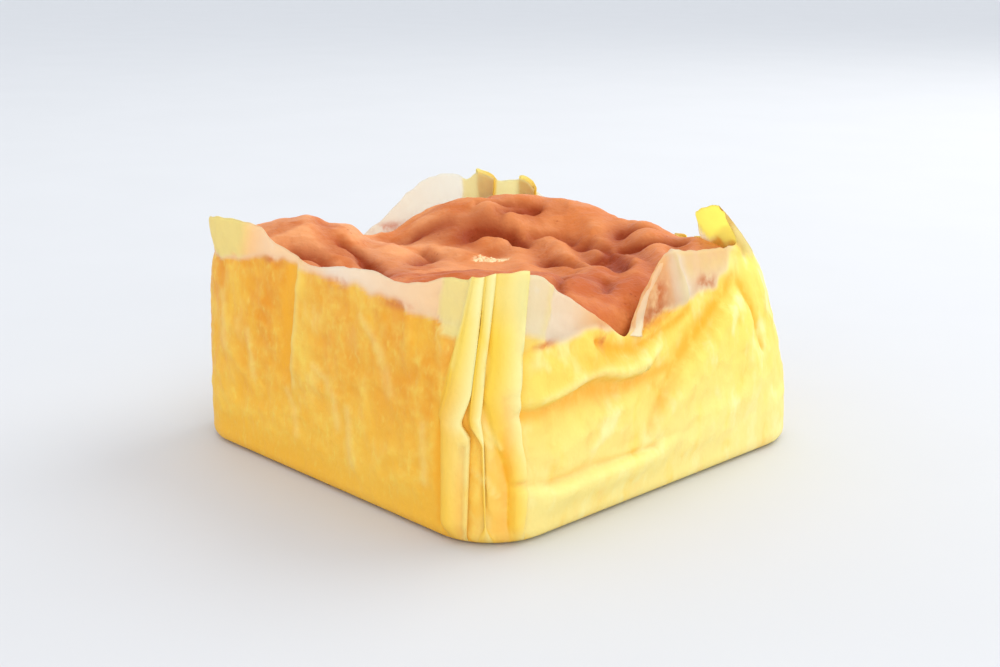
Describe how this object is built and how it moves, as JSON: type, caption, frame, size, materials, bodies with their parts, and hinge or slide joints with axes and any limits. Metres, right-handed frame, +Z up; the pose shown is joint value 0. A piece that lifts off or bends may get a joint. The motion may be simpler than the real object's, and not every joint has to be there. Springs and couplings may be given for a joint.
{
  "type": "castella cake",
  "caption": "Square castella sponge cake with a browned, sunken crust, standing in its folded greaseproof paper case with pleated corners.",
  "frame": {"origin": "bottom centre of the bounding box, on the table under the middle of the case", "axes": "+Z up; the sides run along X and Y, and the pleated corner that is seen from the front points to +X -Y"},
  "size_m": [0.0884, 0.087, 0.0442],
  "materials": {
    "browned_sponge": null,
    "greaseproof_paper": "thin greaseproof paper, soaked yellow where it lies on the sponge and pale where it stands free"
  },
  "bodies": {
    "root": {"cake": "browned_sponge", "paper_case": "greaseproof_paper"}
  },
  "joints": []
}
